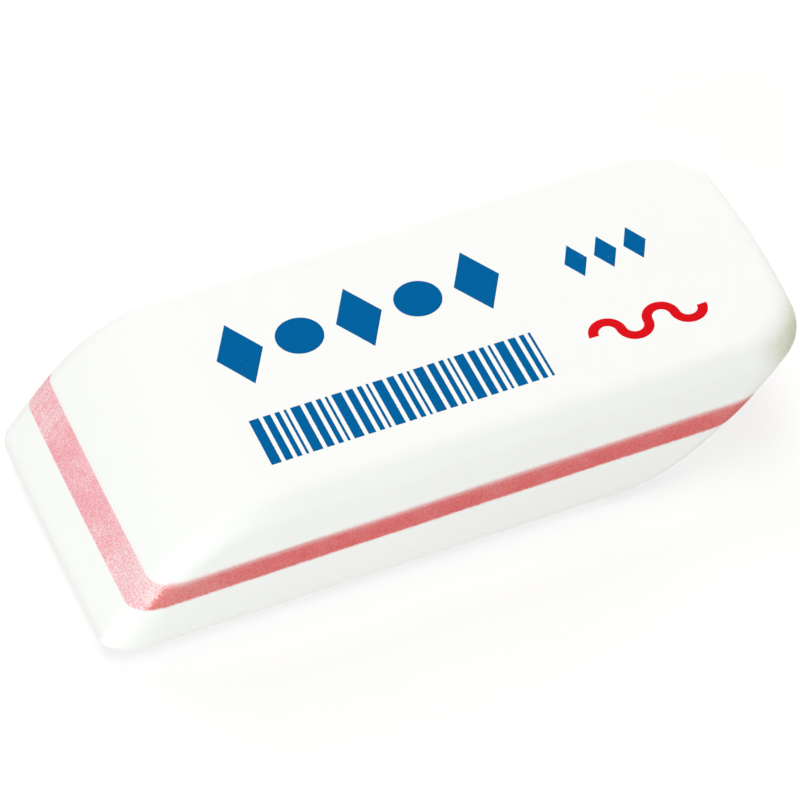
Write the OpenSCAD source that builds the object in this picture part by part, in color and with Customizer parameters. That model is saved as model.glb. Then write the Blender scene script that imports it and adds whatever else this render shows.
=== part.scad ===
// Rubber eraser of three bonded layers: white, coloured core, white.
// The long side is a parallelogram. The left end is bevelled, so the foot sticks out furthest there.
// The right end is cut under, so the top sticks out furthest there.
// The origin is the middle of the base. X runs along the length, Y across it and Z up.

/* [Body] */
// Overall length, over the foot of the left end and the top of the right end
body_length = 59; // [48:0.5:80]
// Overall width
body_width = 24.8; // [20:0.2:32]
// Thickness from the base to the top face
body_thickness = 12; // [9:0.5:16]
// Radius of the long edges and of the left end's edges
edge_r = 1.9; // [0.6:0.1:2.5]

/* [Bevels] */
// How far each end face leans along the length between the base and the top
bevel_run = 10.5; // [4:0.5:14]
// Radius of the left end's foot, seen from the side
left_tip_r = 1.7; // [0.5:0.1:2.5]
// Radius where the left bevel turns into the top face, seen from the side
left_shoulder_r = 13.5; // [4:0.5:18]
// How far the left end bulges at mid width
left_crown = 0.1; // [0:0.1:1.5]
// Radius of the right end's upper tip, seen from the side
right_tip_r = 1.3; // [0.5:0.1:3.5]
// Radius where the right end turns into the base, seen from the side
right_shoulder_r = 26; // [4:0.5:28]
// How far the right end bulges at mid width
right_crown = 1.1; // [0:0.1:2]
// Radius of the right end's side edges
right_edge_r = 0.3; // [0.1:0.1:1.5]

/* [Corners] */
// Extra corner radius of the left end at the base, seen from above. It fades out at mid height.
left_corner_base_r = 2.5; // [0.5:0.1:5]
// Corner radius of the right end at the base, seen from above
right_corner_base_r = 0.8; // [0.4:0.1:6]
// Corner radius of the right end at the top, seen from above
right_corner_top_r = 4.4; // [0.8:0.1:8]

/* [Layers] */
// Thickness of the coloured core, which lies at mid height
core_thickness = 2.1; // [0.8:0.1:4]

/* [Print] */
// Thickness of the ink film
ink_thickness = 0.04; // [0.02:0.01:0.1]
// Space between the start of the flat top and the print on the left
print_left_margin = 0.8; // [0:0.1:4]
// Space between the print and the end of the flat top on the right
print_right_margin = 5.5; // [1:0.1:8]
// Length of the print's right column
side_column_length = 9.8; // [8:0.2:14]
// Space between the print's two columns
column_gap = 3.6; // [1:0.2:6]

/* [Bars] */
// Length of each bar, across the eraser
bar_length = 4.8; // [2:0.2:6]
// Number of bars in a group
bars_per_group = 4; // [2:1:6]
// Width of the widest bar of a group
bar_wide = 0.8; // [0.4:0.05:1.2]
// Width of the narrowest bar of a group
bar_narrow = 0.2; // [0.1:0.05:0.4]
// Least space between neighbouring bars
bar_space = 0.28; // [0.15:0.01:0.6]
// Distance of the bars' middles from the eraser's middle line, on the near side
bar_offset = 5.8; // [4:0.1:7]

/* [Bold shapes] */
// Length of a bold shape along the eraser
bold_length = 3.8; // [2:0.1:6]
// Length of a bold shape across the eraser
bold_width = 6.6; // [2:0.1:8]
// Least space between neighbouring bold shapes
bold_space = 0.7; // [0.2:0.1:2]
// Distance of the bold shapes' middles from the eraser's middle line, on the far side
bold_offset = 3.3; // [1:0.1:5]

/* [Small diamonds] */
// Number of small diamonds in the right column
diamond_count = 3; // [1:1:3]
// Length of a small diamond along the eraser
diamond_length = 1.9; // [1:0.1:2.2]
// Length of a small diamond across the eraser
diamond_width = 3.6; // [1:0.1:4]
// Space between neighbouring small diamonds
diamond_space = 0.6; // [0.2:0.1:0.9]
// Distance of the small diamonds' middles from the eraser's middle line, on the far side
diamond_offset = 2.2; // [1:0.1:5]

/* [Wavy line] */
// Number of half-round bends in the wavy line
wave_bends = 4; // [3:1:6]
// Width of the wavy line's stroke
wave_stroke = 0.8; // [0.3:0.1:1.1]
// Distance of the wavy line's middle from the eraser's middle line, on the near side
wave_offset = 5.8; // [3:0.1:7]

/* [Hidden] */

white = "#fdfdfb";
coral = "#d97172";
blue = "#0a67a6";
red = "#e3252c";

// Steps round a corner of the outline, along an end face and through the height of a rounded edge
corner_steps = 12;
end_steps = 6;
edge_steps = 8;
// Steps through the height of the core, and of an outer layer away from its rounded edge
core_steps = 3;
layer_steps = 6;
// Smoothness of a round outline in the print
disc_fn = 48;

// Lean of both end faces over the base
bevel_angle = atan2(body_thickness, bevel_run);
core_base = (body_thickness - core_thickness) / 2;

// Print columns, on the flat part of the top face
main_column_x0 = left_x(body_thickness) + print_left_margin;
side_column_x0 = right_x(body_thickness) - print_right_margin - side_column_length;
main_column_length = side_column_x0 - column_gap - main_column_x0;

// A shoulder's radius, kept small enough to leave room for the tip's radius on the same end face
function shoulder_radius(shoulder_r, tip_r) =
    min(shoulder_r, (body_thickness - tip_r * (1 + cos(bevel_angle))) / (1 - cos(bevel_angle)));

// How far an end face lies in from its furthest point, at a height above its own tip.
// The face runs along the tip's arc, then leans, then follows the shoulder's arc.
// depth moves the whole face inwards, square to itself, for the rounded edges beside it.
function end_inset(height, tip_r, shoulder_r, depth = 0) =
    let (
        tip_z = max(tip_r, depth),
        tip_x = tip_z / tan(bevel_angle / 2),
        tip_arc = tip_z - depth,
        shoulder_z = body_thickness - shoulder_r,
        shoulder_x = (shoulder_r + shoulder_z * cos(bevel_angle)) / sin(bevel_angle),
        shoulder_arc = shoulder_r - depth,
        x = height < tip_z + tip_arc * cos(bevel_angle) ?
                tip_x - sqrt(max(tip_arc ^ 2 - (height - tip_z) ^ 2, 0))
            : height > shoulder_z + shoulder_arc * cos(bevel_angle) ?
                shoulder_x - sqrt(max(shoulder_arc ^ 2 - (height - shoulder_z) ^ 2, 0))
            : (depth + height * cos(bevel_angle)) / sin(bevel_angle)
    )
    x - tip_r / tan(bevel_angle / 2) + tip_r;

function left_x(z, depth = 0) =
    -body_length / 2 + end_inset(z, left_tip_r, shoulder_radius(left_shoulder_r, left_tip_r), depth);

function right_x(z, depth = 0) =
    body_length / 2
    - end_inset(body_thickness - z, right_tip_r, shoulder_radius(right_shoulder_r, right_tip_r), depth);

// Distance of the side from the middle line at a height: less within edge_r of the base or the top
function side_y(z) =
    let (rise = min(z, body_thickness - z, edge_r))
    body_width / 2 - edge_r + sqrt(edge_r ^ 2 - (edge_r - rise) ^ 2);

// How far a corner of radius r has cut into a face at a distance y from the middle line, with its end at side
function corner_depth(y, side, r) =
    let (over = max(abs(y) - side + r, 0))
    r - sqrt(max(r ^ 2 - over ^ 2, 0));

// The same for a rounded edge between an end face and a side
function edge_depth(y, r) = corner_depth(y, body_width / 2, r);

// How far an end's bulge has fallen away at a distance from the middle line
function crown_depth(y, crown) = crown * (y / (body_width / 2)) ^ 2;

// Corner radii of the two ends at a height, seen from above
function left_corner_r(z) = left_corner_base_r * max(1 - 2 * z / body_thickness, 0);
function right_corner_r(z) =
    let (r = right_corner_base_r + (right_corner_top_r - right_corner_base_r) * z / body_thickness)
    min(r, side_y(z) - right_edge_r);

// Stations across an end from the near side to the far side, close together over the corner zones
function stations(side, zone) = concat(
    [for (i = [corner_steps : -1 : 0]) -side + zone * (1 - sin(90 * i / corner_steps))],
    [for (i = [1 : end_steps - 1]) (side - zone) * (2 * i / end_steps - 1)],
    [for (i = [0 : corner_steps]) side - zone * (1 - sin(90 * i / corner_steps))]
);

// A point on the left end. Its side edges have the same radius as the long edges, which they run on from.
function left_point(y, z) =
    let (cut = corner_depth(y, side_y(z), left_corner_r(z)) + crown_depth(y, left_crown))
    [left_x(z, edge_depth(y, edge_r)) + cut, y, z];

// A point on the right end. Its side edges are nearly sharp, and its corners grow rounder towards the top.
function right_point(y, z) =
    let (cut = corner_depth(y, side_y(z), right_corner_r(z)) + crown_depth(y, right_crown))
    [right_x(z, edge_depth(y, right_edge_r)) - cut, y, z];

// Closed outline of the body at height z, anticlockwise seen from above
function outline(z) = concat(
    [for (y = stations(side_y(z), right_edge_r + right_corner_r(z))) right_point(y, z)],
    [for (y = stations(side_y(z), edge_r + left_corner_r(z))) left_point(-y, z)]
);

// Heights through one outer layer, from its face to its bond, close together where the edge is round
function layer_heights() = concat(
    [for (i = [0 : edge_steps]) edge_r * (1 - cos(90 * i / edge_steps))],
    [for (i = [1 : layer_steps]) edge_r + (core_base - edge_r) * i / layer_steps]
);

// A solid through the body's outlines at rising heights
module slab(heights) {
    sections = [for (z = heights) outline(z)];
    count = len(sections[0]);
    last = len(heights) - 1;
    polyhedron(
        points = [for (section = sections) each section],
        faces = concat(
            [[for (i = [0 : count - 1]) i]],
            [[for (i = [count - 1 : -1 : 0]) last * count + i]],
            [for (level = [0 : last - 1])
                for (i = [0 : count - 1])
                    let (
                        next = (i + 1) % count,
                        low = level * count,
                        high = low + count
                    )
                    [low + i, high + i, high + next, low + next]]
        ),
        convexity = 2
    );
}

// Lower white layer, with the flat base
module lower_layer() {
    color(white) slab(layer_heights());
}

// Coloured core between the two white layers
module core_layer() {
    color(coral) slab([for (i = [0 : core_steps]) core_base + core_thickness * i / core_steps]);
}

// Upper white layer, with the printed face
module upper_layer() {
    heights = layer_heights();
    color(white) slab([for (i = [len(heights) - 1 : -1 : 0]) body_thickness - heights[i]]);
}

// A film of ink of the given outline on the top face
module ink() {
    translate([0, 0, body_thickness]) linear_extrude(height = ink_thickness) children();
}

module diamond(length, width) {
    polygon([[-length / 2, 0], [0, -width / 2], [length / 2, 0], [0, width / 2]]);
}

// Row of bars along the main column, in as many equal groups as fit.
// Each group runs from a wide bar to a narrow one, with equal spaces between its bars.
module bar_print() {
    widths = [for (i = [0 : bars_per_group - 1])
        bar_wide + (bar_narrow - bar_wide) * i / (bars_per_group - 1)];
    inked = bars_per_group * (bar_wide + bar_narrow) / 2;
    groups = floor(main_column_length / (inked + bars_per_group * bar_space));
    pitch = main_column_length / groups;
    space = (pitch - inked) / bars_per_group;
    function bar_start(i) = i == 0 ? 0 : bar_start(i - 1) + widths[i - 1] + space;
    color(blue) ink()
        for (group = [0 : groups - 1])
            for (i = [0 : bars_per_group - 1])
                translate([main_column_x0 + group * pitch + bar_start(i), -bar_offset - bar_length / 2])
                    square([widths[i], bar_length]);
}

// Row of bold shapes along the main column, by turns a diamond and a disc, with as many as fit
module bold_print() {
    shapes = floor((main_column_length + bold_space) / (bold_length + bold_space));
    pitch = (main_column_length - bold_length) / max(shapes - 1, 1);
    color(blue) ink()
        for (i = [0 : shapes - 1])
            translate([main_column_x0 + bold_length / 2 + i * pitch, bold_offset])
                if (i % 2 == 0) diamond(bold_length, bold_width);
                else circle(d = min(bold_length, bold_width), $fn = disc_fn);
}

// Small diamonds in the far half of the right column
module diamond_print() {
    middle = side_column_x0 + side_column_length / 2;
    pitch = diamond_length + diamond_space;
    color(blue) ink()
        for (i = [0 : diamond_count - 1])
            translate([middle + (i - (diamond_count - 1) / 2) * pitch, diamond_offset])
                diamond(diamond_length, diamond_width);
}

// Wavy line in the near half of the right column: half rings that bend away and back by turns
module wave_print() {
    bend_r = (side_column_length - wave_stroke) / wave_bends / 2;
    outer_r = bend_r + wave_stroke / 2;
    color(red) ink()
        for (i = [0 : wave_bends - 1])
            translate([side_column_x0 + outer_r + 2 * bend_r * i, -wave_offset])
                mirror([0, i % 2, 0])
                    difference() {
                        circle(r = outer_r, $fn = disc_fn);
                        circle(r = outer_r - wave_stroke, $fn = disc_fn);
                        translate([-2 * outer_r, -2 * outer_r]) square([4 * outer_r, 2 * outer_r]);
                    }
}

lower_layer();
core_layer();
upper_layer();
bar_print();
bold_print();
diamond_print();
wave_print();
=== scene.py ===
"""Rubber eraser of three bonded layers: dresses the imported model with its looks, light and camera."""

import functools
import math

import bmesh
import bpy
import numpy as np
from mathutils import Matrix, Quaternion, Vector, noise


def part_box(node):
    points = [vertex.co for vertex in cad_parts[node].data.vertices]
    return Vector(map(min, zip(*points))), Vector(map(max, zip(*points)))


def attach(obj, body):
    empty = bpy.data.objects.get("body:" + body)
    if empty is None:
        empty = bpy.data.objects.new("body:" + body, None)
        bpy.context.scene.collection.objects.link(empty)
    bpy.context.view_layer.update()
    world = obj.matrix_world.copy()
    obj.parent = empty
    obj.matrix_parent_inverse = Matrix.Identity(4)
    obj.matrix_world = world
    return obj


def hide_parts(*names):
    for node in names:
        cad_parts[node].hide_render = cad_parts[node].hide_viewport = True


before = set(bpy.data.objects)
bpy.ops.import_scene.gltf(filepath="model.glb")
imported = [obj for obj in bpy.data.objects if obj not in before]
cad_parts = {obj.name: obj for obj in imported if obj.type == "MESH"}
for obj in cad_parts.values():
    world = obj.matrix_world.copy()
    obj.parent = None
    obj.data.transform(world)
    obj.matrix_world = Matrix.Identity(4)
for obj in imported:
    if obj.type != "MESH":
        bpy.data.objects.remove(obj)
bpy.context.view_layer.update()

MM = 0.001
UP = (0.0, 0.0, 1.0)

# Sizes of the body in millimetres, as in the part's source
LENGTH = 59.0
WIDTH = 24.8
THICKNESS = 12.0
CORE = 2.1
EDGE_R = 1.9
BEVEL_RUN = 10.5
LEFT_TIP_R = 1.7
LEFT_SHOULDER_R = 13.5
LEFT_CROWN = 0.1
LEFT_CORNER_BASE_R = 2.5
RIGHT_TIP_R = 1.3
RIGHT_SHOULDER_R = 26.0
RIGHT_CROWN = 1.1
RIGHT_EDGE_R = 0.3
RIGHT_CORNER_BASE_R = 0.8
RIGHT_CORNER_TOP_R = 4.4
CORE_BASE = (THICKNESS - CORE) / 2
CORE_TOP = CORE_BASE + CORE

# Angle between the base and the bevel in radians
BEVEL = math.atan2(THICKNESS, BEVEL_RUN)

# Mesh density
CORNER_STEPS = 28
END_STEPS = 22
SIDE_STEPS = 190
EDGE_STEPS = 22
WALL_STEPS = 20
CORE_STEPS = 14

# Relief of the rubber in millimetres
SWELL_HEIGHT = 0.035
SWELL_SIZE = 9.0
RIPPLE_HEIGHT = 0.010
RIPPLE_SIZE = 2.2
CORE_BULGE = 0.03
CORE_BULGE_ROOM = 0.45
SAW_HEIGHT = 0.012
SAW_SIZE = 0.7
FLAT_FOOT = 1.0
BOND_RISE = 0.23
BOND_RISE_FROM = -32.0
BOND_RISE_TO = 15.0

# How quickly the saw's strokes change along their length for once across it, and their slope
SAW_STRETCH = 0.12
SAW_LEAN = 0.06

# How squarely a face looks along the length where it starts to count as sawn, and where it fully does
SAWN_FACING = (0.25, 0.6)

# How far a seed moves noise along each axis, in meshes and in materials
MESH_SEED_STEP = (1.0, 1.7, -0.6)
PAINT_SEED_STEP = (1.0, 2.3, -1.1)

# Ink film in millimetres
FILM_THICKNESS = 0.012
FILM_SINK = 0.03
FILM_GRID = 0.2
FILM_BLEED = 0.008
FILM_BLEED_SIZE = 0.15
FILM_WELD = 0.001
FILM_SNAP = 0.0001

# Turn in radians up to which the film's outline is straight, and how far its faces look up at least
FILM_STRAIGHT = 0.001
FILM_LOOKS_UP = 0.5

# Colours as they are lit, in linear light
WHITE = (0.94, 0.942, 0.937)
WHITE_WARM = (0.93, 0.932, 0.917)
# Painted shade: olive grey for the near upper corner of the right end
WHITE_PAINTED_SHADE = (0.79, 0.79, 0.62)
CORAL = (0.755, 0.197, 0.197)
CORAL_DEEP = (0.68, 0.102, 0.106)
CORAL_BRIGHT = (0.84, 0.165, 0.14)
CORAL_DUST = (0.86, 0.60, 0.60)
PINK_DEEP = (0.87, 0.33, 0.39)
PINK_PALE = (0.935, 0.76, 0.78)
BLUE = (0.0, 0.126, 0.362)
RED = (0.765, 0.006, 0.012)
SCUFF = (0.70, 0.71, 0.70)

# How much of its colour ink keeps in its deep clouds
INK_DEEP = 0.6

# Fades over the body: where each starts and ends in millimetres, and its share at both
LEATHER_X = (22.0, 28.5, 0.0, 1.0)
# The next four place the painted shade on the near upper corner of the right end
CORNER_SHADE_X = (23.5, 27.5, 0.0, 1.0)
CORNER_SHADE_Y = (-10.8, -4.5, 1.0, 0.0)
CORNER_SHADE_Z = (9.2, 10.7, 0.0, 1.0)
CORNER_SHADE_TOP_Z = (11.4, 11.95, 1.0, 0.1)
PALE_NEAR_Y = (-12.5, 0.5, 0.66, 0.22)
PALE_FAR_Y = (5.0, 11.5, 0.0, 0.32)
STREAKY_Y = (3.0, 9.0, 0.1, 0.32)
DUST_START_X = (-27.0, -24.5, 0.0, 1.0)
DUST_END_X = (-24.0, -14.0, 0.17, 0.0)
UPPER_Z = (THICKNESS / 2 - 0.1, THICKNESS / 2 + 0.1, 0.0, 1.0)

# Fades beside a bond, likewise, by the distance above it
BOND_WANDER = 0.04
CORAL_OVER_BOND = (0.0, 0.34, 0.42, 0.0)
CORAL_UNDER_BOND = (-0.14, 0.0, 0.0, 0.35)
WHITE_UNDER_BOND = (-0.42, 0.0, 0.0, 0.32)
WHITE_TAIL = (-1.0, -0.2, 0.0, 0.04)
WHITE_OVER_BOND = (0.0, 0.13, 0.6, 0.0)

# Fades by how far a face is sawn, from 0 to 1, likewise
BRIGHT_BY_SAWN = (0.02, 0.3, 0.0, 0.8)
CUT_BY_SAWN = (0.35, 0.65, 0.0, 1.0)
TINT_BY_SAWN = (0.0, 1.0, 1.0, 0.12)
DRAWN_BY_SAWN = (0.0, 1.0, 1.0, 0.2)

# Middle of noise, the range that most of it keeps to, and how far speckle is driven apart
NOISE_MIDDLE = 0.5
NOISE_RANGE = (0.3, 0.7)
SPECKLE_CONTRAST = 4.0

# Fades by noise from 0 to 1, likewise
WARM_CLOUDS = (0.35, 0.75, 0.0, 0.4)
WARM_GRAIN = (0.3, 0.8, 0.0, 0.4)
SCUFF_LINE = (0.0, 0.005, 1.0, 0.0)
SCUFF_PLACES = (0.58, 0.66, 0.0, 0.11)
CORAL_GRAIN = (0.33, 0.67, 0.0, 1.0)
DUST_CLOUDS = (0.4, 0.7, 0.0, 0.08)
DUST_SPECKS = (0.35, 0.75, 0.4, 1.8)
THIN_INK = (0.66, 0.78, 0.0, 1.0)
THIN_INK_CLOUDS = (0.45, 0.65, 0.0, 0.25)

# Camera, fitted to the photograph, in degrees and metres, with its lens and sensor in millimetres
CAMERA_AZIMUTH = -21.680
CAMERA_ELEVATION = 47.463
CAMERA_ROLL = -1.246
CAMERA_DISTANCE = 0.36687
CAMERA_AIM = (-0.0005906, -0.0002901, 0.0053999)
LENS = 213.384
SENSOR = 36.0
CLIP = (0.01, 10.0)

# Light and floor. Each lamp has its azimuth and elevation in degrees, distance, power and colour
LAMPS = {
    "key": (-40.0, 12.0, 0.5, 1.76, (0.945, 0.982, 1.0)),
    "top": (0.0, 88.0, 0.8, 2.85, (0.995, 0.995, 1.0)),
    "back": (180.0, 45.0, 0.8, 2.44, (0.975, 0.98, 1.0)),
    "right": (140.0, 12.0, 0.8, 2.75, (1.0, 1.0, 1.0)),
}
LAMP_SPREAD = 0.625
WORLD_STRENGTH = 0.15
WORLD_COLOUR = (1.0, 1.0, 0.79)
FLOOR_SIZE = 4.0
FLOOR_SEEN = (0.35, 0.35, 0.35)
FLOOR_LIFT = 0.68
FLOOR_BOUNCE = (0.88, 0.88, 0.86)
BACKGROUND = (1.0, 1.0, 1.0)


def step(value, low, high):
    """Smooth step from 0 at low to 1 at high."""
    t = np.clip((value - low) / (high - low), 0, 1)
    return t * t * (3 - 2 * t)


def noise_of(points, size, seed=0.0):
    """Smooth noise from -1 to 1 at points, with lumps of about the given size."""
    offset = Vector([seed * part for part in MESH_SEED_STEP])
    return np.array([noise.noise(Vector(p) / size + offset) for p in points])


# Form of the body, from the same functions as the part's source


def end_inset(height, tip_r, shoulder_r, depth=0.0):
    """How far an end face lies in from its furthest point, at a height above its own tip."""
    tip_z = np.maximum(tip_r, depth)
    tip_x = tip_z / math.tan(BEVEL / 2)
    tip_arc = tip_z - depth
    shoulder_z = THICKNESS - shoulder_r
    shoulder_x = (shoulder_r + shoulder_z * math.cos(BEVEL)) / math.sin(BEVEL)
    shoulder_arc = shoulder_r - depth
    on_tip = tip_x - np.sqrt(np.maximum(tip_arc**2 - (height - tip_z) ** 2, 0))
    on_shoulder = shoulder_x - np.sqrt(np.maximum(shoulder_arc**2 - (height - shoulder_z) ** 2, 0))
    on_face = (depth + height * math.cos(BEVEL)) / math.sin(BEVEL)
    x = np.where(height > shoulder_z + shoulder_arc * math.cos(BEVEL), on_shoulder, on_face)
    x = np.where(height < tip_z + tip_arc * math.cos(BEVEL), on_tip, x)
    return x - tip_r / math.tan(BEVEL / 2) + tip_r


def side_y(z):
    """Distance of the side from the middle line at a height."""
    rise = min(z, THICKNESS - z, EDGE_R)
    return WIDTH / 2 - EDGE_R + math.sqrt(EDGE_R**2 - (EDGE_R - rise) ** 2)


def rounding(y, side, radius):
    """How far a rounded corner of that radius has cut in at a distance y from the middle line."""
    over = np.maximum(np.abs(y) - side + radius, 0)
    return radius - np.sqrt(np.maximum(radius**2 - over**2, 0))


def left_corner_r(z):
    """Corner radius of the left end at a height, seen from above, beside its edge radius."""
    return LEFT_CORNER_BASE_R * max(1 - 2 * z / THICKNESS, 0)


def right_corner_r(z):
    """Corner radius of the right end at a height, seen from above."""
    return RIGHT_CORNER_BASE_R + (RIGHT_CORNER_TOP_R - RIGHT_CORNER_BASE_R) * z / THICKNESS


def left_end(y, z):
    """X of the left end at distances y from the middle line and height z."""
    cut = rounding(y, side_y(z), left_corner_r(z)) + LEFT_CROWN * (y / (WIDTH / 2)) ** 2
    depth = rounding(y, WIDTH / 2, EDGE_R)
    return -LENGTH / 2 + end_inset(z, LEFT_TIP_R, LEFT_SHOULDER_R, depth) + cut


def right_end(y, z):
    """X of the right end at distances y from the middle line and height z."""
    cut = rounding(y, side_y(z), right_corner_r(z)) + RIGHT_CROWN * (y / (WIDTH / 2)) ** 2
    depth = rounding(y, WIDTH / 2, RIGHT_EDGE_R)
    return LENGTH / 2 - end_inset(THICKNESS - z, RIGHT_TIP_R, RIGHT_SHOULDER_R, depth) - cut


def stations(z):
    """Distances across an end from the near side to the far side, close together at the corners."""
    side = side_y(z)
    zone = max(left_corner_r(z) + EDGE_R, right_corner_r(z) + RIGHT_EDGE_R)
    turn = np.radians(90 * np.arange(CORNER_STEPS, -1, -1) / CORNER_STEPS)
    corner = zone * (1 - np.sin(turn))
    middle = (side - zone) * (2 * np.arange(1, END_STEPS) / END_STEPS - 1)
    return np.concatenate([corner - side, middle, side - corner[::-1]])


def section(z):
    """Grid of points over the body's section at height z, with rows across it and columns along it."""
    y = stations(z)
    left, right = left_end(y, z), right_end(y, z)
    x = np.linspace(left, right, SIDE_STEPS + 1, axis=1)
    return np.stack([x, np.repeat(y[:, None], SIDE_STEPS + 1, 1), np.full_like(x, z)], -1)


def heights():
    """Heights of the body's sections from the base to the top face, close together on rounded edges."""
    edge = EDGE_R * (1 - np.cos(np.radians(90 * np.arange(EDGE_STEPS) / EDGE_STEPS)))
    wall = np.linspace(EDGE_R, CORE_BASE, WALL_STEPS + 1)
    low = np.concatenate([edge, wall])
    core = np.linspace(CORE_BASE, CORE_TOP, CORE_STEPS + 1)[1:-1]
    return np.concatenate([low, core, THICKNESS - low[::-1]])


def rim_of(rows, columns):
    """Indices of a section grid's outline, anticlockwise seen from above."""
    index = np.arange(rows * columns).reshape(rows, columns)
    return np.concatenate([index[:, -1], index[-1, -2:0:-1], index[::-1, 0], index[0, 1:-1]])


def outward(rings):
    """Directions square to the body's skin at each point of its rings."""
    along = np.roll(rings, -1, 1) - np.roll(rings, 1, 1)
    up = np.gradient(rings, axis=0)
    normals = np.cross(along, up)
    normals[0], normals[-1] = np.negative(UP), UP
    return normals / np.linalg.norm(normals, axis=-1, keepdims=True)


def sawn_share(facing):
    """1 on the end faces, which were sawn through all the layers, and 0 elsewhere."""
    return step(np.abs(facing[:, 0]), *SAWN_FACING)


def bond_rise(points):
    """How far the bonds of the real one run above their level height, more so towards the right end."""
    x, _, z = points.T
    room = np.minimum(z - EDGE_R, THICKNESS - EDGE_R - z)
    return BOND_RISE * step(x, BOND_RISE_FROM, BOND_RISE_TO) * step(room, 0, CORE_BASE - EDGE_R)


def relief(points, facing):
    """How far real rubber stands out from its plain form at points of the skin."""
    x, y, z = points.T
    out = SWELL_HEIGHT * noise_of(points, SWELL_SIZE, seed=3.1)
    out += RIPPLE_HEIGHT * noise_of(points, RIPPLE_SIZE, seed=8.4)
    into_core = np.minimum(z - CORE_BASE, CORE_TOP - z)
    out += CORE_BULGE * step(into_core, 0, CORE_BULGE_ROOM)
    along = x * math.cos(BEVEL) + z * math.sin(BEVEL)
    strokes = np.stack([along * SAW_STRETCH, y + SAW_LEAN * along, 0 * z], -1)
    out += SAW_HEIGHT * noise_of(strokes, SAW_SIZE, seed=5.2) * sawn_share(facing)
    return out * step(z, 0, FLAT_FOOT)


# Meshes


def add_object(name, data):
    """A new object in the scene."""
    made = bpy.data.objects.new(name, data)
    bpy.context.scene.collection.objects.link(made)
    return made


def mesh_object(name, points, faces, body="root"):
    """A smooth-shaded piece on a body, from points in millimetres."""
    mesh = bpy.data.meshes.new(name)
    mesh.from_pydata((points * MM).tolist(), [], faces)
    mesh.shade_smooth()
    piece = add_object(name, mesh)
    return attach(piece, body)


def keep_values(piece, name, values):
    """Keeps one number per vertex on the piece, for its material."""
    attribute = piece.data.attributes.new(name, "FLOAT", "POINT")
    attribute.data.foreach_set("value", np.asarray(values, np.float32))


def crease(piece, ring):
    """Keeps the shading apart along a closed ring of vertices, as at a cut edge."""
    mesh = piece.data
    on_ring = np.zeros(len(mesh.vertices), bool)
    on_ring[ring] = True
    ends = np.empty(2 * len(mesh.edges), np.int32)
    mesh.edges.foreach_get("vertices", ends)
    sharp = on_ring[ends].reshape(-1, 2).all(1)
    for edge in np.flatnonzero(sharp):
        mesh.edges[edge].use_edge_sharp = True


def wall_faces(levels, count):
    """Faces between neighbouring rings of count points."""
    low = (np.arange(levels - 1)[:, None] * count + np.arange(count)).reshape(-1)
    ahead = (np.arange(levels - 1)[:, None] * count + np.roll(np.arange(count), -1)).reshape(-1)
    return np.stack([low, ahead, ahead + count, low + count], -1)


class Skin:
    """The body's sections from the base to the top face, and the rings round them with their relief."""

    def __init__(self):
        self.levels = heights()
        self.grids = np.array([section(z) for z in self.levels])
        self.rows, self.columns = self.grids.shape[1:3]
        self.rim = rim_of(self.rows, self.columns)
        self.inner = np.setdiff1d(np.arange(self.rows * self.columns), self.rim)
        self.top = len(self.levels) - 1
        plain = self.points_of(slice(None), self.rim)
        self.facing = outward(plain)
        lift = relief(plain.reshape(-1, 3), self.facing.reshape(-1, 3)).reshape(plain.shape[:2])
        self.rings = plain + self.facing * lift[..., None]
        self.rings[..., 2] += bond_rise(plain.reshape(-1, 3)).reshape(plain.shape[:2])

    def points_of(self, level, chosen):
        """Chosen points of the plain section at a level."""
        return self.grids.reshape(len(self.levels), -1, 3)[level][..., chosen, :]

    def cap(self, level):
        """Points of a layer's end inside its ring, at a level."""
        points = self.points_of(level, self.inner)
        up = np.tile(UP, (len(points), 1))
        if level == self.top:
            points = points + up * relief(points, up)[:, None]
        return points + up * bond_rise(points)[:, None]

    def cap_faces(self, ring, inside):
        """Faces over a layer's end, looking up, from the first vertices of its ring and its inside."""
        vertex = np.empty(self.rows * self.columns, int)
        vertex[self.rim] = ring + np.arange(len(self.rim))
        vertex[self.inner] = inside + np.arange(len(self.inner))
        grid = vertex.reshape(self.rows, self.columns)
        quads = np.stack([grid[:-1, :-1], grid[:-1, 1:], grid[1:, 1:], grid[1:, :-1]], -1)
        return quads.reshape(-1, 4)


def rubber_layer(skin, name, first, last):
    """One layer as a closed piece of the skin, between two levels."""
    count, inside = len(skin.rim), len(skin.inner)
    wall = skin.rings[first : last + 1].reshape(-1, 3)
    last_ring = len(wall) - count
    faces = np.concatenate([
        wall_faces(last + 1 - first, count),
        skin.cap_faces(0, len(wall))[:, ::-1],
        skin.cap_faces(last_ring, len(wall) + inside),
    ])
    points = np.concatenate([wall, skin.cap(first), skin.cap(last)])
    piece = mesh_object(name + "_rubber", points, faces.tolist())
    sawn = sawn_share(skin.facing[first : last + 1].reshape(-1, 3))
    keep_values(piece, "sawn", np.concatenate([sawn, np.zeros(2 * inside)]))
    wall_height = np.repeat(skin.levels[first : last + 1], count)
    cap_height = np.repeat(skin.levels[[first, last]], inside)
    keep_values(piece, "height", np.concatenate([wall_height, cap_height]))
    for level, ring in ((first, 0), (last, last_ring)):
        if 0 < level < skin.top:
            crease(piece, ring + np.arange(count))
    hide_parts(name + "_layer")
    return piece


def rubber_layers():
    """The three bonded layers, as one skin that is cut at the bonds."""
    skin = Skin()
    core_first = EDGE_STEPS + WALL_STEPS
    core_last = core_first + CORE_STEPS
    cuts = (("lower", 0, core_first), ("core", core_first, core_last), ("upper", core_last, skin.top))
    return {name: rubber_layer(skin, name, first, last) for name, first, last in cuts}


def cut_along(bm, axis, start, end):
    """Cuts a sheet square to an axis, at even steps between two places in metres."""
    normal = Vector((0, 0, 0))
    normal[axis] = 1
    for at in np.arange(start + FILM_GRID * MM, end, FILM_GRID * MM):
        geometry = bm.verts[:] + bm.edges[:] + bm.faces[:]
        bmesh.ops.bisect_plane(bm, geom=geometry, dist=FILM_SNAP * MM, plane_co=normal * at, plane_no=normal)


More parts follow.
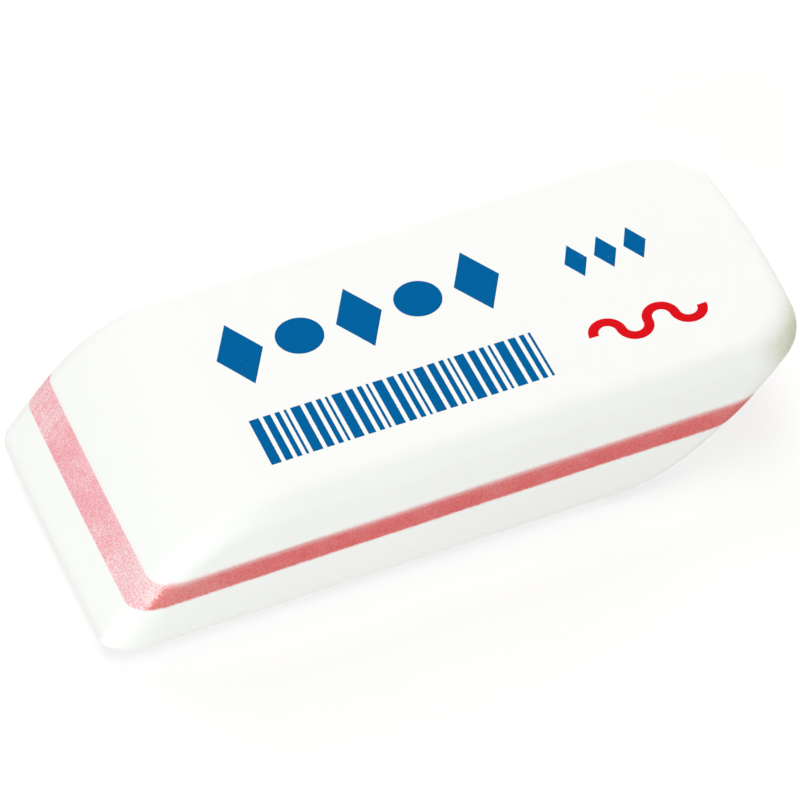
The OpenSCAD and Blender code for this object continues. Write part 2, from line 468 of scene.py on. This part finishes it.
def film_sheet(node):
    """Points in millimetres, triangles and border edges of a sheet in the outline of a CAD node."""
    bm = bmesh.new()
    bm.from_mesh(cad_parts[node].data)
    rest = [face for face in bm.faces if face.normal.z < FILM_LOOKS_UP]
    bmesh.ops.delete(bm, geom=rest, context="FACES")
    bmesh.ops.remove_doubles(bm, verts=bm.verts[:], dist=FILM_WELD * MM)
    bmesh.ops.dissolve_limit(bm, angle_limit=FILM_STRAIGHT, verts=bm.verts[:], edges=bm.edges[:])
    corner, far_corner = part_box(node)
    for axis in (0, 1):
        cut_along(bm, axis, corner[axis], far_corner[axis])
    bmesh.ops.triangulate(bm, faces=bm.faces[:])
    bm.verts.index_update()
    points = np.array([vertex.co for vertex in bm.verts]) / MM
    faces = [[vertex.index for vertex in face.verts] for face in bm.faces]
    open_edges = [edge for edge in bm.edges if edge.is_boundary]
    loops = [loop for edge in open_edges for loop in edge.link_loops]
    border = [(loop.vert.index, loop.link_loop_next.vert.index) for loop in loops]
    bm.free()
    return points, faces, border


def ink_film(name, node):
    """A thin film of ink that lies on the swells of the top face, in the outline of a CAD node."""
    points, faces, border = film_sheet(node)
    edge = np.unique(border)
    for axis, seed in ((0, 11.0), (1, 17.0)):
        points[edge, axis] += FILM_BLEED * noise_of(points[edge], FILM_BLEED_SIZE, seed)
    points[:, 2] = THICKNESS
    ground = THICKNESS + relief(points, np.tile(UP, (len(points), 1)))
    top, under = points.copy(), points.copy()
    top[:, 2] = ground + FILM_THICKNESS
    under[:, 2] = ground - FILM_SINK
    count = len(points)
    film = faces + [[i + count for i in reversed(face)] for face in faces]
    film += [[b, a, a + count, b + count] for a, b in border]
    piece = mesh_object(name, np.concatenate([top, under]), film)
    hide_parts(node)
    return piece


# Materials


class Nodes:
    """Short ways to build a tree of nodes."""

    def __init__(self, tree):
        self.tree = tree

    def add(self, kind, **settings):
        """A new node of a kind, with its settings."""
        node = self.tree.nodes.new(kind)
        for key, value in settings.items():
            setattr(node, key, value)
        return node

    def link(self, source, target):
        """Links an output to an input."""
        self.tree.links.new(source, target)

    def put(self, value, socket):
        """Sets a socket to a number or colour, or links it to another socket."""
        if isinstance(value, bpy.types.NodeSocket):
            self.link(value, socket)
        elif isinstance(value, tuple) and len(value) == 3 and socket.type == "RGBA":
            socket.default_value = (*value, 1)
        else:
            socket.default_value = value

    def math(self, operation, a, b=0.0):
        """Result of a Math node on two numbers or sockets."""
        node = self.add("ShaderNodeMath", operation=operation)
        self.put(a, node.inputs[0])
        self.put(b, node.inputs[1])
        return node.outputs[0]

    def plus(self, *values):
        """Sum of numbers or sockets."""
        return functools.reduce(lambda a, b: self.math("ADD", a, b), values)

    def minus(self, a, b):
        """Difference of two numbers or sockets."""
        return self.math("SUBTRACT", a, b)

    def times(self, *values):
        """Product of numbers or sockets."""
        return functools.reduce(lambda a, b: self.math("MULTIPLY", a, b), values)

    def choose(self, lighting, seen, output):
        """Gives an output one shader for light on its way, and another where it is seen or mirrored."""
        path = self.add("ShaderNodeLightPath")
        share = path.outputs["Is Camera Ray"]
        for kind in ("Is Glossy Ray", "Is Transmission Ray"):
            share = self.math("MAXIMUM", share, path.outputs[kind])
        both = self.add("ShaderNodeMixShader")
        self.link(share, both.inputs[0])
        self.link(lighting, both.inputs[1])
        self.link(seen, both.inputs[2])
        self.link(both.outputs[0], self.add(output).inputs[0])


class Paint(Nodes):
    """A material with a principled shader, and short ways to add nodes in millimetres."""

    def __init__(self, name):
        self.material = bpy.data.materials.new(name)
        self.material.use_nodes = True
        super().__init__(self.material.node_tree)
        self.skin = self.tree.nodes["Principled BSDF"]
        place = self.add("ShaderNodeTexCoord")
        scale = self.add("ShaderNodeMapping")
        scale.inputs["Scale"].default_value = (1 / MM,) * 3
        self.link(place.outputs["Object"], scale.inputs["Vector"])
        self.place = scale.outputs["Vector"]

    def lumps(self, size, detail=2.0, place=None, seed=0.0, roughness=0.5):
        """Noise from 0 to 1 with lumps of about that size."""
        shift = self.add("ShaderNodeVectorMath", operation="ADD")
        self.link(place or self.place, shift.inputs[0])
        shift.inputs[1].default_value = [seed * part for part in PAINT_SEED_STEP]
        node = self.add("ShaderNodeTexNoise")
        self.link(shift.outputs[0], node.inputs["Vector"])
        node.inputs["Scale"].default_value = 1 / size
        node.inputs["Detail"].default_value = detail
        node.inputs["Roughness"].default_value = roughness
        return node.outputs["Fac"]

    def fade(self, value, start, end, at_start, at_end):
        """A value carried smoothly from start..end to at_start..at_end, and no further."""
        node = self.add("ShaderNodeMapRange", interpolation_type="SMOOTHSTEP")
        for socket, number in zip(node.inputs, (value, start, end, at_start, at_end)):
            self.put(number, socket)
        return node.outputs["Result"]

    def spread(self, noise, low, high):
        """Noise carried from the range that most of it keeps to, to low..high."""
        return self.fade(noise, *NOISE_RANGE, low, high)

    def mix(self, share, a, b):
        """Colour a where share is 0 and b where it is 1."""
        node = self.add("ShaderNodeMix", data_type="RGBA")
        first, second = (socket for socket in node.inputs if socket.type == "RGBA")
        self.put(share, node.inputs[0])
        self.put(a, first)
        self.put(b, second)
        return next(socket for socket in node.outputs if socket.type == "RGBA")

    def bump(self, height, depth, under=None):
        """Small relief of a depth in millimetres."""
        node = self.add("ShaderNodeBump")
        node.inputs["Distance"].default_value = depth * MM
        self.put(height, node.inputs["Height"])
        if under:
            self.link(under, node.inputs["Normal"])
        return node.outputs["Normal"]

    def value_of(self, name):
        """The number that each vertex keeps under that name."""
        return self.add("ShaderNodeAttribute", attribute_name=name).outputs["Fac"]

    def along(self, axis):
        """Place along an axis in millimetres."""
        split = self.add("ShaderNodeSeparateXYZ")
        self.link(self.place, split.inputs[0])
        return split.outputs[axis]

    def strokes(self):
        """Places stretched along the saw's strokes over the end faces."""
        turn = self.add("ShaderNodeMapping")
        self.link(self.place, turn.inputs["Vector"])
        turn.inputs["Rotation"].default_value = (math.atan(SAW_LEAN), BEVEL - math.pi / 2, 0)
        stretch = self.add("ShaderNodeMapping")
        self.link(turn.outputs[0], stretch.inputs["Vector"])
        stretch.inputs["Scale"].default_value = (1, 1, SAW_STRETCH)
        return stretch.outputs[0]

    def finish(self, colour, roughness, normal, gloss=0.3):
        """The finished material, from its colour, roughness, relief and gloss."""
        self.put(colour, self.skin.inputs["Base Color"])
        self.put(roughness, self.skin.inputs["Roughness"])
        self.put(normal, self.skin.inputs["Normal"])
        self.skin.inputs["Specular IOR Level"].default_value = gloss
        return self.material


def above(paint, level):
    """Distance above a bond in millimetres, with a slightly uneven edge."""
    uneven = paint.spread(paint.lumps(0.22, seed=6.0), -BOND_WANDER, BOND_WANDER)
    return paint.plus(paint.minus(paint.value_of("height"), level), uneven)


def skin_relief(paint, sawn):
    """Fine grain of the rubber, with saw strokes on the end faces and soft lumps at the right end."""
    grain = paint.bump(paint.lumps(0.16, detail=3.0), depth=0.007)
    peel = paint.bump(paint.lumps(0.7, seed=4.0), depth=0.012, under=grain)
    leather = paint.times(paint.lumps(0.9, detail=3.0, seed=12.0), paint.fade(paint.along("X"), *LEATHER_X))
    lumpy = paint.bump(leather, depth=0.05, under=peel)
    strokes = paint.lumps(0.16, detail=3.0, place=paint.strokes(), seed=9.0)
    return paint.bump(paint.times(strokes, sawn), depth=0.012, under=lumpy)


def painted_corner_shade(paint):
    """Share of the painted shade, olive and mottled, on the near upper corner of the right end."""
    corner = paint.times(paint.fade(paint.along("X"), *CORNER_SHADE_X), paint.fade(paint.along("Y"), *CORNER_SHADE_Y))
    z = paint.along("Z")
    upper = paint.times(paint.fade(z, *CORNER_SHADE_Z), paint.fade(z, *CORNER_SHADE_TOP_Z))
    mottle = paint.spread(paint.lumps(0.4, detail=3.0, seed=23.0, roughness=0.7), 0.5, 1.0)
    return paint.times(corner, upper, mottle)


def scuffs(paint):
    """Share of faint curved rub lines, a few to the face."""
    wave = paint.minus(paint.lumps(7.0, detail=1.0, seed=31.0), NOISE_MIDDLE)
    line = paint.fade(paint.math("ABSOLUTE", wave), *SCUFF_LINE)
    return paint.times(line, paint.fade(paint.lumps(4.0, detail=1.0, seed=37.0), *SCUFF_PLACES))


def core_tint(paint, sawn):
    """Share of the core's colour in the white beside its bonds."""
    over = paint.fade(above(paint, CORE_TOP), *CORAL_OVER_BOND)
    under = paint.fade(above(paint, CORE_BASE), *CORAL_UNDER_BOND)
    is_upper = paint.fade(paint.value_of("height"), *UPPER_Z)
    tint = paint.plus(paint.times(over, is_upper), paint.times(under, paint.minus(1.0, is_upper)))
    return paint.times(tint, paint.fade(sawn, *TINT_BY_SAWN))


def white_rubber():
    """White vinyl: slight clouds and grain, faint scuffs, painted shade on the near upper corner of the
    right end, and tinted by the core beside its bonds.
    """
    paint = Paint("white_rubber")
    sawn = paint.value_of("sawn")
    cloud = paint.fade(paint.lumps(6.0, detail=3.0, seed=2.0), *WARM_CLOUDS)
    grain = paint.fade(paint.lumps(0.25, seed=6.0), *WARM_GRAIN)
    colour = paint.mix(paint.plus(cloud, grain), WHITE, WHITE_WARM)
    # Painted shade darkens the near upper corner of the right end towards olive grey
    colour = paint.mix(painted_corner_shade(paint), colour, WHITE_PAINTED_SHADE)
    colour = paint.mix(scuffs(paint), colour, SCUFF)
    colour = paint.mix(core_tint(paint, sawn), colour, paint.mix(sawn, CORAL, PINK_DEEP))
    rough = paint.spread(paint.lumps(1.5, seed=7.0), 0.5, 0.62)
    return paint.finish(colour, rough, skin_relief(paint, sawn))


def sawn_core(paint):
    """Colour of the core where it is cut across: pink with fine pale speckle, paler to both corners."""
    y = paint.along("Y")
    fine = paint.lumps(0.10, detail=1.0, seed=21.0, roughness=0.8)
    strokes = paint.lumps(0.12, detail=1.0, place=paint.strokes(), seed=5.0)
    streaky = paint.fade(y, *STREAKY_Y)
    speckle = paint.plus(paint.times(strokes, streaky), paint.times(fine, paint.minus(1.0, streaky)))
    contrast = paint.times(paint.minus(speckle, NOISE_MIDDLE), SPECKLE_CONTRAST)
    share = paint.plus(paint.fade(y, *PALE_NEAR_Y), paint.fade(y, *PALE_FAR_Y))
    patches = paint.spread(paint.lumps(2.6, seed=1.0), -0.13, 0.13)
    pale = paint.fade(paint.plus(share, patches, contrast), 0.0, 1.0, 0.0, 1.0)
    return paint.mix(pale, PINK_DEEP, PINK_PALE)


def moulded_core(paint, sawn):
    """Colour of the core along the sides: coral, brighter beside the cut and dusty past it."""
    grain = paint.lumps(0.13, seed=3.0, roughness=0.8)
    side = paint.mix(paint.fade(grain, *CORAL_GRAIN), CORAL, CORAL_DEEP)
    side = paint.mix(paint.fade(sawn, *BRIGHT_BY_SAWN), side, CORAL_BRIGHT)
    x = paint.along("X")
    dusty = paint.times(paint.fade(x, *DUST_START_X), paint.fade(x, *DUST_END_X))
    soft = paint.fade(paint.lumps(3.0, seed=8.0), *DUST_CLOUDS)
    specks = paint.fade(paint.lumps(0.12, seed=14.0), *DUST_SPECKS)
    return paint.mix(paint.times(paint.plus(dusty, soft), specks), side, CORAL_DUST)


def drawn_white(paint, sawn):
    """Share of the white of its neighbours in the core beside its bonds."""
    under = paint.fade(above(paint, CORE_TOP), *WHITE_UNDER_BOND)
    tail = paint.fade(above(paint, CORE_TOP), *WHITE_TAIL)
    over = paint.fade(above(paint, CORE_BASE), *WHITE_OVER_BOND)
    return paint.times(paint.plus(under, tail, over), paint.fade(sawn, *DRAWN_BY_SAWN))


def coral_rubber():
    """The coloured core, with the white of its neighbours drawn into its edges."""
    paint = Paint("coral_rubber")
    sawn = paint.value_of("sawn")
    fray = paint.spread(paint.lumps(0.13, detail=3.0, seed=17.0, roughness=0.7), -0.3, 0.3)
    cut = paint.fade(paint.plus(sawn, fray), *CUT_BY_SAWN)
    colour = paint.mix(cut, moulded_core(paint, sawn), sawn_core(paint))
    colour = paint.mix(drawn_white(paint, sawn), colour, WHITE)
    rough = paint.spread(paint.lumps(1.5, seed=7.0), 0.55, 0.68)
    return paint.finish(colour, rough, skin_relief(paint, sawn), gloss=0.2)


def ink(name, colour):
    """Flat printed ink, a little deeper in clouds and thin in places over the weave of the print."""
    paint = Paint(name)
    weave = paint.lumps(0.12, detail=3.0, seed=2.0)
    cloud = paint.lumps(1.6, seed=5.0)
    thin = paint.times(paint.fade(weave, *THIN_INK), paint.fade(cloud, *THIN_INK_CLOUDS))
    deep = tuple(INK_DEEP * part for part in colour)
    colour = paint.mix(thin, paint.mix(paint.spread(cloud, 0.0, 0.12), colour, deep), WHITE)
    return paint.finish(colour, paint.spread(weave, 0.5, 0.65), paint.bump(weave, depth=0.003), gloss=0.005)


# Surroundings


def empty_nodes(owner):
    """The emptied tree of nodes of a material or world."""
    owner.use_nodes = True
    owner.node_tree.nodes.clear()
    return Nodes(owner.node_tree)


def floor_white():
    """White where it is seen, but for shadows, and less so in the light that it throws back up."""
    material = bpy.data.materials.new("floor_white")
    nodes = empty_nodes(material)
    white = nodes.add("ShaderNodeBsdfDiffuse")
    nodes.put(FLOOR_SEEN, white.inputs["Color"])
    lift = nodes.add("ShaderNodeEmission")
    nodes.put(FLOOR_LIFT, lift.inputs["Strength"])
    lifted = nodes.add("ShaderNodeAddShader")
    nodes.link(white.outputs[0], lifted.inputs[0])
    nodes.link(lift.outputs[0], lifted.inputs[1])
    bounce = nodes.add("ShaderNodeBsdfDiffuse")
    nodes.put(FLOOR_BOUNCE, bounce.inputs["Color"])
    nodes.choose(bounce.outputs[0], lifted.outputs[0], "ShaderNodeOutputMaterial")
    return material


def make_floor():
    """The floor that the object lies on."""
    half = FLOOR_SIZE / 2
    mesh = bpy.data.meshes.new("floor")
    corners = [(-half, -half, 0), (half, -half, 0), (half, half, 0), (-half, half, 0)]
    mesh.from_pydata(corners, [], [(0, 1, 2, 3)])
    mesh.materials.append(floor_white())
    floor = add_object("floor", mesh)


def make_world():
    """Even soft light from all round, on a white background."""
    world = bpy.data.worlds.new("studio")
    nodes = empty_nodes(world)
    light = nodes.add("ShaderNodeBackground")
    nodes.put(WORLD_STRENGTH, light.inputs["Strength"])
    nodes.put(WORLD_COLOUR, light.inputs["Color"])
    white = nodes.add("ShaderNodeBackground")
    nodes.put(BACKGROUND, white.inputs["Color"])
    nodes.choose(light.outputs[0], white.outputs[0], "ShaderNodeOutputWorld")
    bpy.context.scene.world = world


def direction(azimuth, elevation):
    """Direction from the object to a place round it. Azimuth 0 is the near side."""
    a, e = math.radians(azimuth), math.radians(elevation)
    return Vector((math.sin(a) * math.cos(e), -math.cos(a) * math.cos(e), math.sin(e)))


def make_lamp(name, azimuth, elevation, distance, power, colour):
    """A square soft lamp that looks at the object, as wide for its distance as the others."""
    light = bpy.data.lights.new(name, "AREA")
    light.shape = "SQUARE"
    light.size = LAMP_SPREAD * distance
    light.energy = power
    light.color = colour
    lamp = add_object(name, light)
    away = direction(azimuth, elevation)
    lamp.location = away * distance
    lamp.rotation_euler = away.to_track_quat("Z", "Y").to_euler()
    lamp.visible_camera = False


def make_camera():
    """The camera at the photograph's angle."""
    data = bpy.data.cameras.new("camera")
    data.lens = LENS
    data.sensor_width = SENSOR
    data.clip_start, data.clip_end = CLIP
    camera = add_object("camera", data)
    back = direction(CAMERA_AZIMUTH, CAMERA_ELEVATION)
    camera.location = Vector(CAMERA_AIM) + back * CAMERA_DISTANCE
    upright = (-back).to_track_quat("-Z", "Y")
    camera.rotation_euler = (upright @ Quaternion((0, 0, 1), math.radians(CAMERA_ROLL))).to_euler()
    bpy.context.scene.camera = camera


make_camera()
bpy.context.scene.view_settings.view_transform = "Standard"
make_world()
make_floor()
for lamp, settings in LAMPS.items():
    make_lamp(lamp, *settings)

layers = rubber_layers()
white = white_rubber()
for name, material, slot in (
    ("lower", white, "white_rubber"),
    ("core", coral_rubber(), "coral_rubber"),
    ("upper", white, "white_rubber"),
):
    layers[name].data.materials.append(material)

blue, red = ink("blue_ink", BLUE), ink("red_ink", RED)
for node, material, slot in (
    ("bar_print", blue, "blue_ink"),
    ("bold_print", blue, "blue_ink"),
    ("diamond_print", blue, "blue_ink"),
    ("wave_print", red, "red_ink"),
):
    film = ink_film(node.replace("print", "film"), node)
    film.data.materials.append(material)
